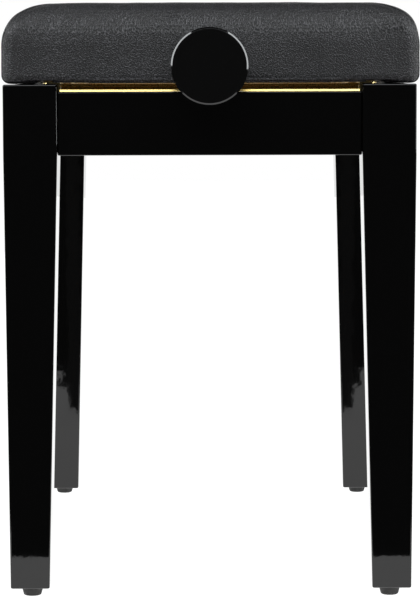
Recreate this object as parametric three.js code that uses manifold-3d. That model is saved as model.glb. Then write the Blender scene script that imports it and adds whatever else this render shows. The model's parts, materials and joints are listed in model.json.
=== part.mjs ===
// Height-adjustable piano bench: a lacquered four-leg base, a padded seat, and a
// brass-plated scissor lift between them that two knobs on one spindle drive.
// Millimetres, +Z up. The origin is on the floor under the middle of the bench,
// +Y runs along the bench and X across it. "Front" is the -Y end, "left" is -X.
import * as THREE from "three";
import { mergeVertices } from "three/addons/utils/BufferGeometryUtils.js";
import Module from "manifold-3d";

// Fit
const GAP = 0.3; // between faces that touch on the real bench
const SHEET = 1.6; // plated sheet steel of the lift frames
const PAST = 1; // how far a cutting tool, or a joined piece, reaches past a face
const SPARE = 2; // how much deeper a hole is than what goes into it
const HAIR = 0.01; // keeps a cut from ending in the very plane of a face

// Base
const BASE_WIDTH = 325.4;
const BASE_LENGTH = 546.5;
const LEG_WIDTH = 42.6;
const LEG_DEPTH = 50; // along the bench
const LEG_BOTTOM = 7.5;
const LEG_TOP = 409.5;
const LEG_TAPER_OUTER = 2.6; // how far the outer faces draw in at the floor
const LEG_TAPER_ACROSS = 8.8; // the same for the inner faces
const LEG_TAPER_ALONG = 6.4;
const LEG_CHAMFER = 1.2;
const FOOT_IN_ACROSS = 19.2; // from the base's outer face to the middle of a foot
const FOOT_IN_ALONG = 18.2;
const FOOT_TOP_RADIUS = 8.8;
const FOOT_BOTTOM_RADIUS = 7.3;
const FOOT_STEM_RADIUS = 2.6;
const FOOT_STEM_LENGTH = 13; // of the hole
const FOOT_EDGE = 1.6;
const FOOT_EDGE_TURN = 0.45 * Math.PI;
const FOOT_EDGE_STEPS = 3;
const FOOT_SIDES = 20;
const APRON_BOTTOM = 353.5;
const END_APRON_TOP = 403.5;
const SIDE_APRON_TOP = 409.5;
const APRON_CHAMFER = 1;
const END_APRON_SETBACK = 3.2;
const END_APRON_THICKNESS = 18;
const SIDE_APRON_SETBACK = 2;
const SIDE_APRON_THICKNESS = 20;
const BLOCK_BOTTOM = 355;
const BLOCK_TOP = 371;
const BLOCK_REACH = 18; // from the leg's inner corner to the block's slanted face
const LEG_BOLT_RADIUS = 3;
const LEG_BOLT_DEPTH = 26; // into the leg from its inner corner
const LEG_BOLT_TAIL = 9; // behind the block, with the washer and nut on it
const WASHER_RADIUS = 7.5;
const WASHER_THICKNESS = 1.5;
const LEG_NUT_RADIUS = 6;
const LEG_NUT_FACE = 6.5; // the nut's outer face, from the block

// Seat
const SEAT_WIDTH = 330;
const SEAT_LENGTH = 550;
const SEAT_BOTTOM = 412.4;
const SEAT_TOP = 475.4;
const SEAT_CROWN = 1.6;
const SEAT_CORNER = 10; // vertical corners
const SEAT_HEM = 4.5; // rounding of the bottom edge
const SHOULDER_HEIGHT = 34;
const SHOULDER_ACROSS = 38; // how far the shoulder draws in across the bench
const SHOULDER_ALONG = 30;
const SHOULDER_POWER = 2.15;
const LEATHER = 1.2;
const HEM_RETURN = 14; // leather folded under the skirt
const SKIRT_THICKNESS = 18;
const BOARD_BOTTOM = 436;
const BOARD_THICKNESS = 12;
const CORNER_GROWTH = 0.4; // of the corner's radius with the shoulder's draw
const CORNER_STEPS = 4;
const HEM_STEPS = 2;
const SHOULDER_STEPS = 7;
const CROWN_STEPS = 3;
const CROWN_RING = 36; // between the rings of the crown

// Lift
const ARM_LENGTH = 400; // pin to pin
const ARM_RADIUS = 9;
const ARM_THICKNESS = 3;
const PIVOT_Y = -198; // the fixed pivots, one above the other
const LOWER_PIVOT_Z = 384;
const UPPER_PIVOT_Z = 420;
const SEAT_LIFT = 90;
const RAIL_INSIDE = 118.2; // inner faces of the lower and upper rails
const ARM_A_INSIDE = 114.2;
const ARM_B_INSIDE = 110.7;
const PIN_RADIUS = 4;
const PIN_TAIL = 6; // of a pivot bolt, inside its arm
const PIVOT_SPACER_RADIUS = 6.5;
const ROD_COLLAR_RADIUS = 6.5;
const ROD_COLLAR = 1.5;
const ROD_END = 2; // past the collar's inner face
const OPEN_PIVOT_CLEARANCE = 1.2;
const LOWER_RAIL_BOTTOM = 372;
const LOWER_RAIL_HALF = 262;
const LOWER_RAIL_WEB_HALF = 250;
const LOWER_FLANGE_EDGE = 132;
const FLANGE_CORNER = 8;
const UPPER_RAIL_BOTTOM = 412.8;
const UPPER_RAIL_HALF = 235;
const UPPER_FLANGE_EDGE = 134;
const PLATE_HALF = 117;
const PLATE_FOLD_Y = 248; // inner face of the lower cross member's web
const PLATE_TOP = 409.6;
const PLATE_FLANGE = 12;
const WELD_LENGTH = 10;
const UPPER_PLATE_FLANGE = 13;
const UPPER_PLATE_BOTTOM = 413.8;
const BEARING_Y = 229;
const BEARING_THICKNESS = 2.5;
const SPINDLE_Z = 424.2;
const SPINDLE_RADIUS = 6;
const SPINDLE_HALF = 300;
const NUT_CLEARANCE = 1.1; // the nut swings a little off the spindle as it travels
const KNOB_RADIUS = 30;
const KNOB_FACE = 309;
const KNOB_THICKNESS = 23;
const KNOB_HUB_RADIUS = 11;
const KNOB_HUB_START = 277;
const KNOB_BEVEL = 1.2;
const KNOB_BACK_BEVEL = 2.5;
const KNOB_SIDES = 36;
const SPINDLE_HOLE_RADIUS = 8; // through the ends of the seat
const COLLAR_RADIUS = 11;
const COLLAR_LENGTH = 8;
const NUT_HALF_WIDTH = 13;
const NUT_HALF = 10;
const HEX_RADIUS = 7;
const HEX_HEIGHT = 3.5;
const SCREW_RADIUS = 2;
const SCREW_HEAD_RADIUS = 4;
const SCREW_SINK = 2; // depth of a countersunk head
const RAIL_SCREW_LENGTH = 20;
const SEAT_SCREW_REACH = 9; // into the seat board
const PAN_HEAD = 2.4;
const PAN_HEAD_EDGE = 1;
const ROUND = 12; // sides of a small round piece
const HEXAGON = 6;
const ARC_STEPS = 6; // of an arc in a plate's outline
const MERGE = 1e-4; // vertices this close are one

const LEG_OUTER_X = BASE_WIDTH / 2;
const LEG_OUTER_Y = BASE_LENGTH / 2;
const LEG_INNER_X = LEG_OUTER_X - LEG_WIDTH;
const LEG_INNER_Y = LEG_OUTER_Y - LEG_DEPTH;
const FOOT_CENTRE = [LEG_OUTER_X - FOOT_IN_ACROSS, LEG_OUTER_Y - FOOT_IN_ALONG];
const LEG_BOLT_Z = (BLOCK_BOTTOM + BLOCK_TOP) / 2;
const RAIL_SCREW = [LEG_INNER_X + 5.6, LEG_INNER_Y + 15];
const LOWER_FLANGE_BOTTOM = LEG_TOP + GAP;
const LOWER_FLANGE_TOP = LOWER_FLANGE_BOTTOM + SHEET;
const UPPER_FLANGE_TOP = BOARD_BOTTOM - GAP;
const SEAT_SCREW = [RAIL_INSIDE + 8.5, 150];
const LINER = LEATHER + GAP; // from the leather's outside to the pieces under it
const REST_ANGLE = Math.asin((UPPER_PIVOT_Z - LOWER_PIVOT_Z) / ARM_LENGTH);
const TOP_ANGLE = Math.asin((UPPER_PIVOT_Z - LOWER_PIVOT_Z + SEAT_LIFT) / ARM_LENGTH);
const SLIDER_REST_Y = PIVOT_Y + ARM_LENGTH * Math.cos(REST_ANGLE);
const SLIDER_TOP_Y = PIVOT_Y + ARM_LENGTH * Math.cos(TOP_ANGLE);

const paint = (color, roughness, metalness) =>
  new THREE.MeshStandardMaterial({ color, roughness, metalness });
const LACQUER = paint(0x060606, 0.08, 0);
const HARDWOOD = paint(0xb08a5a, 0.6, 0);
const PLYWOOD = paint(0xc8a878, 0.7, 0);
const RUBBER = paint(0x2e2e2e, 0.85, 0);
const HIDE = paint(0x38383a, 0.5, 0);
const FOAM = paint(0xd9cfa8, 0.95, 0);
const BRASS_PLATE = paint(0xc8a048, 0.3, 1);
const ZINC = paint(0xa8a8a4, 0.35, 1);
const STEEL = paint(0x8c8c8c, 0.3, 1);

const bench = new THREE.Group();
const wasm = await Module();
wasm.setup();

// Shapes

function bare(geometry) {
  const copy = geometry.clone();
  copy.deleteAttribute("normal");
  copy.deleteAttribute("uv");
  return mergeVertices(copy, MERGE);
}

function toManifold(geometry) {
  const shape = bare(geometry);
  return new wasm.Manifold(new wasm.Mesh({
    numProp: 3,
    vertProperties: new Float32Array(shape.attributes.position.array),
    triVerts: new Uint32Array(shape.index.array),
  }));
}

function fromManifold(manifold) {
  const mesh = manifold.getMesh();
  const geometry = new THREE.BufferGeometry();
  geometry.setAttribute("position", new THREE.BufferAttribute(mesh.vertProperties, 3));
  geometry.setIndex(new THREE.BufferAttribute(mesh.triVerts, 1));
  return geometry;
}

function join(first, ...others) {
  const whole = others.reduce((sum, other) => sum.add(toManifold(other)), toManifold(first));
  return fromManifold(whole);
}

function cut(first, ...tools) {
  const rest = tools.reduce((sum, tool) => sum.subtract(toManifold(tool)), toManifold(first));
  return fromManifold(rest);
}

function overlap(first, second) {
  return fromManifold(toManifold(first).intersect(toManifold(second)));
}

// A box between two corners.
function box(x0, x1, y0, y1, z0, z1) {
  const geometry = new THREE.BoxGeometry(x1 - x0, y1 - y0, z1 - z0);
  return geometry.translate((x0 + x1) / 2, (y0 + y1) / 2, (z0 + z1) / 2);
}

// A round bar (or, with 6 sides, a hexagon) along one axis through a point.
function bar(axis, from, to, a, b, radius, sides = ROUND) {
  const geometry = new THREE.CylinderGeometry(radius, radius, to - from, sides);
  const middle = (from + to) / 2;
  if (axis === "x") {
    return geometry.rotateZ(Math.PI / 2).translate(middle, a, b);
  }
  if (axis === "y") {
    return geometry.translate(a, middle, b);
  }
  return geometry.rotateX(Math.PI / 2).translate(a, b, middle);
}

// A plate parallel to the YZ plane, from a shape drawn in (y, z).
function plateX(shape, x0, x1) {
  const geometry = new THREE.ExtrudeGeometry(shape, {
    depth: x1 - x0,
    bevelEnabled: false,
    curveSegments: ARC_STEPS,
  });
  return geometry.rotateY(Math.PI / 2).rotateX(Math.PI / 2).translate(x0, 0, 0);
}

// A plate parallel to the XY plane, from a shape drawn in (x, y).
function plateZ(shape, z0, z1) {
  const geometry = new THREE.ExtrudeGeometry(shape, {
    depth: z1 - z0,
    bevelEnabled: false,
    curveSegments: ARC_STEPS,
  });
  return geometry.translate(0, 0, z0);
}

function polygon(points) {
  return new THREE.Shape(points.map(([a, b]) => new THREE.Vector2(a, b)));
}

// A closed body through rings that all have the same number of points.
function loft(rings) {
  const count = rings[0].length;
  const last = (rings.length - 1) * count;
  const faces = [];
  for (let level = 0; level < rings.length - 1; level += 1) {
    for (let i = 0; i < count; i += 1) {
      const a = level * count + i;
      const b = level * count + ((i + 1) % count);
      faces.push(a, b, b + count, a, b + count, a + count);
    }
  }
  for (let i = 1; i < count - 1; i += 1) {
    faces.push(0, i + 1, i);
    faces.push(last, last + i, last + i + 1);
  }
  const geometry = new THREE.BufferGeometry();
  geometry.setAttribute("position", new THREE.Float32BufferAttribute(rings.flat(2), 3));
  geometry.setIndex(faces);
  return geometry;
}

// A lathe turned about Z from [radius, height] pairs that start and end on the axis.
function turned(profile, sides = ROUND) {
  const points = profile.map(([radius, height]) => new THREE.Vector2(radius, height));
  return new THREE.LatheGeometry(points, sides).rotateX(Math.PI / 2);
}

// The same piece on another side of the bench.
function mirrored(geometry, signX, signY) {
  const copy = bare(geometry).scale(signX, signY, 1);
  if (signX * signY < 0) {
    const index = copy.index.array;
    for (let i = 0; i < index.length; i += 3) {
      const held = index[i];
      index[i] = index[i + 1];
      index[i + 1] = held;
    }
  }
  return copy;
}

function add(name, geometry, material) {
  const mesh = new THREE.Mesh(geometry, material);
  mesh.name = name;
  bench.add(mesh);
}

const SIDES = [["left", -1], ["right", 1]];
const ENDS = [["front", -1], ["rear", 1]];

// Each of these takes the piece of the +X, +Y quarter and adds its copies.
function addSides(name, geometry, material) {
  for (const [side, sign] of SIDES) {
    add(`${name}_${side}`, mirrored(geometry, sign, 1), material);
  }
}

function addEnds(name, geometry, material) {
  for (const [end, sign] of ENDS) {
    add(`${name}_${end}`, mirrored(geometry, 1, sign), material);
  }
}

function addCorners(name, geometry, material) {
  for (const [end, signY] of ENDS) {
    for (const [side, signX] of SIDES) {
      add(`${name}_${end}_${side}`, mirrored(geometry, signX, signY), material);
    }
  }
}

// Base

function legRing(z, drawn, chamfer) {
  const x0 = LEG_INNER_X + LEG_TAPER_ACROSS * drawn + (LEG_CHAMFER - chamfer);
  const x1 = LEG_OUTER_X - LEG_TAPER_OUTER * drawn - (LEG_CHAMFER - chamfer);
  const y0 = LEG_INNER_Y + LEG_TAPER_ALONG * drawn + (LEG_CHAMFER - chamfer);
  const y1 = LEG_OUTER_Y - LEG_TAPER_OUTER * drawn - (LEG_CHAMFER - chamfer);
  const c = LEG_CHAMFER;
  return [
    [x0 + c, y0, z], [x1 - c, y0, z], [x1, y0 + c, z], [x1, y1 - c, z],
    [x1 - c, y1, z], [x0 + c, y1, z], [x0, y1 - c, z], [x0, y0 + c, z],
  ];
}

function legBoltBar(from, to, radius, sides = ROUND) {
  const geometry = new THREE.CylinderGeometry(radius, radius, to - from, sides);
  geometry.translate(0, (from + to) / 2, 0).rotateZ(-Math.PI / 4);
  return geometry.translate(LEG_INNER_X, LEG_INNER_Y, LEG_BOLT_Z);
}

function leg() {
  const body = loft([
    legRing(LEG_BOTTOM, 1, 0),
    legRing(LEG_BOTTOM + LEG_CHAMFER, 1, LEG_CHAMFER),
    legRing(APRON_BOTTOM, 0, LEG_CHAMFER),
    legRing(LEG_TOP, 0, LEG_CHAMFER),
  ]);
  const stemHole = bar("z", 0, LEG_BOTTOM + FOOT_STEM_LENGTH, ...FOOT_CENTRE, FOOT_STEM_RADIUS + GAP);
  const screwEnd = LEG_TOP - RAIL_SCREW_LENGTH - SPARE;
  const screwHole = bar("z", screwEnd, LEG_TOP + PAST, ...RAIL_SCREW, SCREW_RADIUS + GAP);
  const boltHole = legBoltBar(-PAST, LEG_BOLT_DEPTH + SPARE, LEG_BOLT_RADIUS + GAP);
  return cut(body, stemHole, screwHole, boltHole);
}

function foot() {
  const height = LEG_BOTTOM - GAP;
  const stemTop = height + FOOT_STEM_LENGTH - PAST;
  const flat = FOOT_BOTTOM_RADIUS - FOOT_EDGE;
  const profile = [[0, 0], [flat, 0]];
  for (let i = 1; i <= FOOT_EDGE_STEPS; i += 1) {
    const angle = (i / FOOT_EDGE_STEPS) * FOOT_EDGE_TURN;
    profile.push([flat + FOOT_EDGE * Math.sin(angle), FOOT_EDGE - FOOT_EDGE * Math.cos(angle)]);
  }
  profile.push([FOOT_TOP_RADIUS, height]);
  profile.push([FOOT_STEM_RADIUS, height], [FOOT_STEM_RADIUS, stemTop], [0, stemTop]);
  return turned(profile, FOOT_SIDES).translate(...FOOT_CENTRE, 0);
}

// The apron's section, from its inner face to its outer face.
function apronSection(inner, outer, top) {
  const c = APRON_CHAMFER;
  return polygon([
    [inner, APRON_BOTTOM], [outer - c, APRON_BOTTOM], [outer, APRON_BOTTOM + c],
    [outer, top - c], [outer - c, top], [inner, top],
  ]);
}

function endApron() {
  const outer = LEG_OUTER_Y - END_APRON_SETBACK;
  const half = LEG_INNER_X - GAP;
  return plateX(apronSection(outer - END_APRON_THICKNESS, outer, END_APRON_TOP), -half, half);
}

function sideApron() {
  const outer = LEG_OUTER_X - SIDE_APRON_SETBACK;
  const half = LEG_INNER_Y - GAP;
  const section = apronSection(outer - SIDE_APRON_THICKNESS, outer, SIDE_APRON_TOP);
  return mirrored(plateX(section, -half, half).rotateZ(Math.PI / 2), -1, 1);
}

function cornerBlock() {
  const endFace = LEG_OUTER_Y - END_APRON_SETBACK - END_APRON_THICKNESS - GAP;
  const sideFace = LEG_OUTER_X - SIDE_APRON_SETBACK - SIDE_APRON_THICKNESS - GAP;
  const slant = LEG_INNER_X + LEG_INNER_Y - BLOCK_REACH * Math.SQRT2;
  const outline = polygon([
    [slant - endFace, endFace], [sideFace, slant - sideFace],
    [sideFace, LEG_INNER_Y - GAP], [LEG_INNER_X - GAP, LEG_INNER_Y - GAP],
    [LEG_INNER_X - GAP, endFace],
  ]);
  const reach = LEG_BOLT_RADIUS + SPARE;
  const hole = legBoltBar(-BLOCK_REACH - reach, reach, LEG_BOLT_RADIUS + GAP);
  return cut(plateZ(outline, BLOCK_BOTTOM, BLOCK_TOP), hole);
}

function legBolt() {
  const seat = -BLOCK_REACH - GAP;
  const washer = legBoltBar(seat - WASHER_THICKNESS, seat, WASHER_RADIUS);
  const nut = legBoltBar(seat - LEG_NUT_FACE, seat - PAST, LEG_NUT_RADIUS, HEXAGON);
  return join(legBoltBar(seat - LEG_BOLT_TAIL, LEG_BOLT_DEPTH, LEG_BOLT_RADIUS), washer, nut);
}

addCorners("leg", leg(), LACQUER);
addCorners("foot", foot(), RUBBER);
addEnds("end_apron", endApron(), LACQUER);
add("side_apron_left", mirrored(sideApron(), -1, 1), LACQUER);
add("side_apron_right", sideApron(), LACQUER);
addCorners("corner_block", cornerBlock(), HARDWOOD);
addCorners("leg_bolt", legBolt(), ZINC);

// Lower frame of the lift, which is screwed to the tops of the legs

function countersunk(top, length, clearance) {
  const head = SCREW_HEAD_RADIUS + clearance;
  const shank = SCREW_RADIUS + clearance;
  const profile = [
    [0, top - length], [shank, top - length], [shank, top - SCREW_SINK], [head, top], [0, top],
  ];
  return turned(profile);
}

function hexAlongX(x, y, z) {
  return bar("x", x, x + HEX_HEIGHT, y, z, HEX_RADIUS, HEXAGON);
}

function sliderSlot(x0, x1) {
  const half = PIN_RADIUS + OPEN_PIVOT_CLEARANCE;
  return join(
    box(x0, x1, SLIDER_TOP_Y, SLIDER_REST_Y, LOWER_PIVOT_Z - half, LOWER_PIVOT_Z + half),
    bar("x", x0, x1, SLIDER_TOP_Y, LOWER_PIVOT_Z, half),
    bar("x", x0, x1, SLIDER_REST_Y, LOWER_PIVOT_Z, half),
  );
}

function flange(x0, x1, half, corner) {
  const shape = new THREE.Shape();
  shape.moveTo(x0, -half);
  shape.lineTo(x1 - corner, -half);
  shape.absarc(x1 - corner, -half + corner, corner, -Math.PI / 2, 0, false);
  shape.absarc(x1 - corner, half - corner, corner, 0, Math.PI / 2, false);
  shape.lineTo(x0, half);
  shape.closePath();
  return shape;
}

function lowerRail() {
  const x0 = RAIL_INSIDE;
  const x1 = RAIL_INSIDE + SHEET;
  const step = END_APRON_TOP + 2 * GAP;
  const web = plateX(polygon([
    [-LOWER_RAIL_WEB_HALF, LOWER_RAIL_BOTTOM], [LOWER_RAIL_WEB_HALF, LOWER_RAIL_BOTTOM],
    [LOWER_RAIL_WEB_HALF, step], [LOWER_RAIL_HALF, step],
    [LOWER_RAIL_HALF, LOWER_FLANGE_TOP], [-LOWER_RAIL_HALF, LOWER_FLANGE_TOP],
    [-LOWER_RAIL_HALF, step], [-LOWER_RAIL_WEB_HALF, step],
  ]), x0, x1);
  const outline = flange(x0, LOWER_FLANGE_EDGE, LOWER_RAIL_HALF, FLANGE_CORNER);
  const top = plateZ(outline, LOWER_FLANGE_BOTTOM, LOWER_FLANGE_TOP);
  const [screwX, screwY] = RAIL_SCREW;
  const screwHoles = [-1, 1].map((sign) =>
    countersunk(LOWER_FLANGE_TOP, RAIL_SCREW_LENGTH / 2, GAP).translate(screwX, sign * screwY, HAIR));
  const pivotHole = bar("x", x0 - PAST, x1 + PAST, PIVOT_Y, LOWER_PIVOT_Z, PIN_RADIUS + GAP);
  return cut(join(web, top), pivotHole, sliderSlot(x0 - PAST, x1 + PAST), ...screwHoles);
}

function railScrew() {
  return countersunk(LOWER_FLANGE_TOP, RAIL_SCREW_LENGTH, 0).translate(...RAIL_SCREW, 0);
}

// A cross member that rests on the end apron and is welded between the rails.
function lowerEndPlate() {
  const outer = LEG_OUTER_Y - END_APRON_SETBACK - GAP;
  const bottom = END_APRON_TOP + GAP;
  const weldHalf = RAIL_INSIDE - GAP;
  const back = PLATE_FOLD_Y - PLATE_FLANGE;
  return join(
    box(-PLATE_HALF, PLATE_HALF, PLATE_FOLD_Y, outer, bottom, bottom + SHEET),
    box(-PLATE_HALF, PLATE_HALF, PLATE_FOLD_Y, PLATE_FOLD_Y + SHEET, bottom, PLATE_TOP),
    box(-PLATE_HALF, PLATE_HALF, back, PLATE_FOLD_Y + SHEET, PLATE_TOP - SHEET, PLATE_TOP),
    box(-weldHalf, weldHalf, back, back + WELD_LENGTH, PLATE_TOP - SHEET, PLATE_TOP),
  );
}

function lowerPivotBolt() {
  const outside = RAIL_INSIDE + SHEET + GAP;
  const inside = ARM_A_INSIDE - GAP;
  return join(
    hexAlongX(outside, PIVOT_Y, LOWER_PIVOT_Z),
    bar("x", inside - PIN_TAIL, outside + PAST, PIVOT_Y, LOWER_PIVOT_Z, PIN_RADIUS),
    hexAlongX(inside - HEX_HEIGHT, PIVOT_Y, LOWER_PIVOT_Z),
  );
}

addSides("lower_rail", lowerRail(), BRASS_PLATE);
addEnds("lower_end_plate", lowerEndPlate(), BRASS_PLATE);
addCorners("rail_screw", railScrew(), ZINC);
addSides("lower_pivot_bolt", lowerPivotBolt(), ZINC);

// Seat

function seatRing(z, acrossInset, alongInset) {
  const x = SEAT_WIDTH / 2 - acrossInset;
  const y = SEAT_LENGTH / 2 - alongInset;
  const radius = SEAT_CORNER + Math.min(acrossInset, alongInset) * CORNER_GROWTH;
  const ring = [];
  for (let corner = 0; corner < 4; corner += 1) {
    const centreX = (x - radius) * (corner === 0 || corner === 3 ? 1 : -1);
    const centreY = (y - radius) * (corner < 2 ? 1 : -1);
    for (let i = 0; i <= CORNER_STEPS; i += 1) {
      const angle = (corner + i / CORNER_STEPS) * (Math.PI / 2);
      ring.push([centreX + radius * Math.cos(angle), centreY + radius * Math.sin(angle), z]);
    }
  }
  return ring;
}

// The cushion's outside, or the same form drawn in by a thickness.
function seatForm(inset) {
  const rings = [];
  for (let i = 0; i <= HEM_STEPS; i += 1) {
    const angle = (i / HEM_STEPS) * (Math.PI / 2);
    const hem = SEAT_HEM * (1 - Math.sin(angle));
    const z = SEAT_BOTTOM + inset + SEAT_HEM * (1 - Math.cos(angle));
    rings.push(seatRing(z, inset + hem, inset + hem));
  }
  const shoulderTop = SEAT_TOP - SEAT_CROWN - inset;
  for (let i = 0; i <= SHOULDER_STEPS; i += 1) {
    const angle = (i / SHOULDER_STEPS) * (Math.PI / 2);
    const out = Math.cos(angle) ** (2 / SHOULDER_POWER);
    const up = Math.sin(angle) ** (2 / SHOULDER_POWER);
    const z = shoulderTop - SHOULDER_HEIGHT * (1 - up);
    rings.push(seatRing(z, inset + SHOULDER_ACROSS * (1 - out), inset + SHOULDER_ALONG * (1 - out)));
  }
  for (let i = 1; i <= CROWN_STEPS; i += 1) {
    const z = shoulderTop + SEAT_CROWN * Math.sin((i / CROWN_STEPS) * (Math.PI / 2));
    rings.push(seatRing(z, SHOULDER_ACROSS + i * CROWN_RING, SHOULDER_ALONG + i * CROWN_RING));
  }
  return loft(rings);
}

function leatherCover() {
  const openX = SEAT_WIDTH / 2 - HEM_RETURN;
  const openY = SEAT_LENGTH / 2 - HEM_RETURN;
  return cut(
    seatForm(0),
    seatForm(LEATHER),
    box(-openX, openX, -openY, openY, SEAT_BOTTOM - PAST, SEAT_BOTTOM + LEATHER + PAST),
    bar("y", -SEAT_LENGTH, SEAT_LENGTH, 0, SPINDLE_Z, SPINDLE_HOLE_RADIUS),
  );
}

const BOARD_TOP = BOARD_BOTTOM + BOARD_THICKNESS;
const SKIRT_X = SEAT_WIDTH / 2 - LINER - SKIRT_THICKNESS;
const SKIRT_Y = SEAT_LENGTH / 2 - LINER - SKIRT_THICKNESS;
const core = seatForm(LINER);

// The cushion's inside between two heights.
function slice(z0, z1) {
  return overlap(core, box(-SEAT_WIDTH, SEAT_WIDTH, -SEAT_LENGTH, SEAT_LENGTH, z0, z1));
}

function foamPad() {
  return slice(BOARD_TOP + GAP, SEAT_TOP);
}

function seatBoard() {
  const board = slice(BOARD_BOTTOM, BOARD_TOP);
  const holes = [];
  for (const signX of [-1, 1]) {
    for (const signY of [-1, 1]) {
      const place = [signX * SEAT_SCREW[0], signY * SEAT_SCREW[1]];
      const top = BOARD_BOTTOM + SEAT_SCREW_REACH + PAST;
      holes.push(bar("z", BOARD_BOTTOM - PAST, top, ...place, SCREW_RADIUS + GAP));
    }
  }
  return cut(board, ...holes);
}

function sideSkirt() {
  const strip = box(SKIRT_X, SEAT_WIDTH, -SEAT_LENGTH, SEAT_LENGTH, SEAT_BOTTOM, BOARD_BOTTOM - GAP);
  return overlap(core, strip);
}

function endSkirt() {
  const half = SKIRT_X - GAP;
  const strip = box(-half, half, SKIRT_Y, SEAT_LENGTH, SEAT_BOTTOM, BOARD_BOTTOM - GAP);
  const hole = bar("y", SKIRT_Y - PAST, SEAT_LENGTH, 0, SPINDLE_Z, SPINDLE_HOLE_RADIUS);
  return cut(overlap(core, strip), hole);
}

add("leather_cover", leatherCover(), HIDE);
add("foam_pad", foamPad(), FOAM);
add("seat_board", seatBoard(), PLYWOOD);
addSides("side_skirt", sideSkirt(), HARDWOOD);
addEnds("end_skirt", endSkirt(), HARDWOOD);

// Upper frame of the lift, which is screwed under the seat board

function upperRail() {
  const x0 = RAIL_INSIDE;
  const x1 = RAIL_INSIDE + SHEET;
  const outline = flange(x0, UPPER_FLANGE_EDGE, UPPER_RAIL_HALF, FLANGE_CORNER);
  const top = plateZ(outline, UPPER_FLANGE_TOP - SHEET, UPPER_FLANGE_TOP);
  const web = box(x0, x1, -UPPER_RAIL_HALF, UPPER_RAIL_HALF, UPPER_RAIL_BOTTOM, UPPER_FLANGE_TOP);
  const [screwX, screwY] = SEAT_SCREW;
  const holeEnds = [UPPER_FLANGE_TOP - SHEET - PAST, UPPER_FLANGE_TOP + PAST];
  const screwHoles = [-1, 1].map((sign) =>
    bar("z", ...holeEnds, screwX, sign * screwY, SCREW_RADIUS + GAP));
  const pivotHole = bar("x", x0 - PAST, x1 + PAST, PIVOT_Y, UPPER_PIVOT_Z, PIN_RADIUS + GAP);
  return cut(join(web, top), pivotHole, ...screwHoles);
}

// The cross member that the spindle turns in.
function upperEndPlate() {
  const half = RAIL_INSIDE - GAP;
  const outer = BEARING_Y + BEARING_THICKNESS;
  const back = BEARING_Y - UPPER_PLATE_FLANGE;
  const web = box(-half, half, BEARING_Y, outer, UPPER_PLATE_BOTTOM, UPPER_FLANGE_TOP);
  const top = box(-half, half, back, outer, UPPER_FLANGE_TOP - SHEET, UPPER_FLANGE_TOP);
  const hole = bar("y", BEARING_Y - PAST, outer + PAST, 0, SPINDLE_Z, SPINDLE_RADIUS + GAP);
  return cut(join(web, top), hole);
}

function seatScrew() {
  const seat = UPPER_FLANGE_TOP - SHEET - GAP;
  const end = BOARD_BOTTOM + SEAT_SCREW_REACH;
  const profile = [
    [0, seat - PAN_HEAD], [PAN_HEAD, seat - PAN_HEAD],
    [SCREW_HEAD_RADIUS, seat - PAN_HEAD_EDGE], [SCREW_HEAD_RADIUS, seat],
    [SCREW_RADIUS, seat], [SCREW_RADIUS, end], [0, end],
  ];
  return turned(profile).translate(...SEAT_SCREW, 0);
}

function upperPivotBolt() {
  const outside = RAIL_INSIDE + SHEET + GAP;
  const inside = ARM_B_INSIDE - GAP;
  const place = [PIVOT_Y, UPPER_PIVOT_Z];
  const spacerStart = ARM_B_INSIDE + ARM_THICKNESS + GAP;
  return join(
    hexAlongX(outside, ...place),
    bar("x", inside - PIN_TAIL, outside + PAST, ...place, PIN_RADIUS),
    bar("x", spacerStart, RAIL_INSIDE - GAP, ...place, PIVOT_SPACER_RADIUS),
    hexAlongX(inside - HEX_HEIGHT, ...place),
  );
}

addSides("upper_rail", upperRail(), BRASS_PLATE);
addEnds("upper_end_plate", upperEndPlate(), BRASS_PLATE);
addCorners("seat_screw", seatScrew(), ZINC);
addSides("upper_pivot_bolt", upperPivotBolt(), ZINC);

// Scissor arms: arm a rises towards the rear from the lower frame's fixed pivot,
// arm b falls towards the rear from the upper frame's, and they cross in the middle.

function arm(inside, startZ, angle, middleClearance) {
  const shape = new THREE.Shape();
  shape.absarc(0, 0, ARM_RADIUS, Math.PI / 2, (3 * Math.PI) / 2, false);
  shape.absarc(ARM_LENGTH, 0, ARM_RADIUS, -Math.PI / 2, Math.PI / 2, false);
  shape.closePath();
  const x0 = inside - PAST;
  const x1 = inside + ARM_THICKNESS + PAST;
  const flat = cut(
    plateX(shape, inside, inside + ARM_THICKNESS),
    bar("x", x0, x1, 0, 0, PIN_RADIUS + GAP),
    bar("x", x0, x1, ARM_LENGTH / 2, 0, PIN_RADIUS + middleClearance),
    bar("x", x0, x1, ARM_LENGTH, 0, PIN_RADIUS + GAP),
  );
  return flat.rotateX(angle).translate(0, PIVOT_Y, startZ);
}

function centreBolt() {
  const y = (PIVOT_Y + SLIDER_REST_Y) / 2;
  const z = (LOWER_PIVOT_Z + UPPER_PIVOT_Z) / 2;
  const inside = ARM_B_INSIDE - GAP;
  return join(
    bar("x", inside - PAST, ARM_A_INSIDE + ARM_THICKNESS, y, z, PIN_RADIUS),
    hexAlongX(inside - HEX_HEIGHT, y, z),
  );
}

function crossRod() {
  const end = RAIL_INSIDE + SHEET + PAST;
  const y = SLIDER_REST_Y;
  const z = LOWER_PIVOT_Z;
  return join(
    bar("x", -end - ROD_END, end + ROD_END, y, z, PIN_RADIUS),
    bar("x", -end - ROD_COLLAR, -end, y, z, ROD_COLLAR_RADIUS),
    bar("x", end, end + ROD_COLLAR, y, z, ROD_COLLAR_RADIUS),
  );
}

addSides("lift_arm_a", arm(ARM_A_INSIDE, LOWER_PIVOT_Z, REST_ANGLE, GAP), BRASS_PLATE);
addSides("lift_arm_b", arm(ARM_B_INSIDE, UPPER_PIVOT_Z, -REST_ANGLE, OPEN_PIVOT_CLEARANCE), BRASS_PLATE);
addSides("centre_bolt", centreBolt(), ZINC);
add("cross_rod", crossRod(), STEEL);

// Spindle drive

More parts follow.
